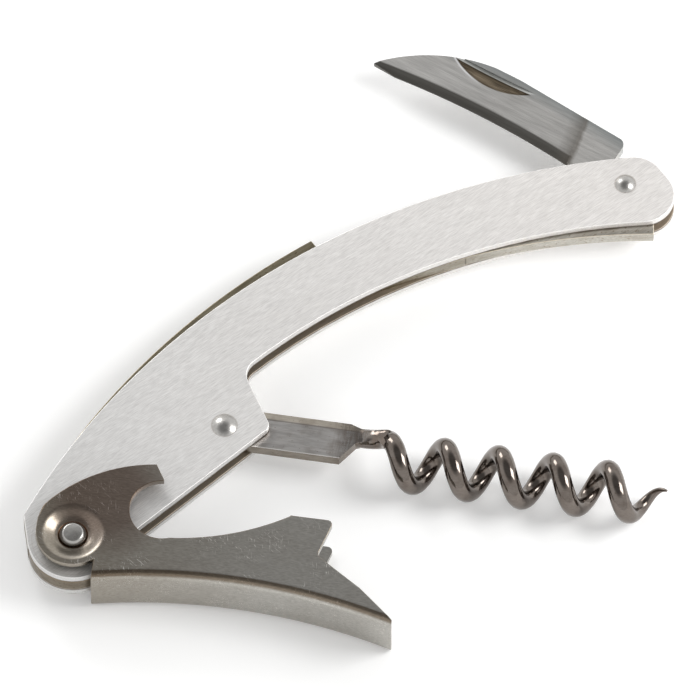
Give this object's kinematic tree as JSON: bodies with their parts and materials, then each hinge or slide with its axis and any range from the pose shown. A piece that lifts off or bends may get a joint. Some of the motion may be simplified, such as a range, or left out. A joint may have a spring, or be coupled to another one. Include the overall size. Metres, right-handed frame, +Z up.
{
  "type": "lever corkscrew",
  "caption": "Folding lever corkscrew: curved steel side plates with a centre spring, a folded lever with cap lifter and lip notch, a helical worm and a foil knife.",
  "frame": {"origin": "middle of the half-open tool's outline, on the surface that it lies on", "axes": "+X from the lever's rivet to the knife's rivet, +Y towards the handle's arched back, +Z up through the thickness"},
  "size_m": [0.1182, 0.0882, 0.0095],
  "materials": {
    "plates": "bright stainless sheet, brushed along the handle",
    "spring": "spring steel with ground edges",
    "lever": "satin pressed sheet, lightly scratched",
    "worm": "polished wire with a satin flat shank",
    "knife": "satin ground blade",
    "rivets": "polished heads"
  },
  "bodies": {
    "handle": {"front_plate": "plates", "back_plate": "plates", "centre_spring": "spring", "lever_rivet": "rivets", "worm_rivet": "rivets", "knife_rivet": "rivets"},
    "lever": {"lever": "lever"},
    "worm": {"worm": "worm"},
    "knife": {"knife_blade": "knife"}
  },
  "joints": [
    {"name": "lever_swing", "type": "hinge", "parent": "handle", "child": "lever", "pos_m": [-0.0522, 0.00275, 0.00475], "axis": [0, 0, 1], "range_deg": [-125, 45]},
    {"name": "worm_swing", "type": "hinge", "parent": "handle", "child": "worm", "pos_m": [-0.0219, 0.005, 0.00475], "axis": [0, 0, 1], "range_deg": [-92.5, 33.3]},
    {"name": "knife_swing", "type": "hinge", "parent": "handle", "child": "knife", "pos_m": [0.0532, 0.00275, 0.00475], "axis": [0, 0, 1], "range_deg": [-138, 48]}
  ],
  "couplings": [
    {"joint": "worm_swing", "follows": "lever_swing", "ratio": 0.738}
  ]
}
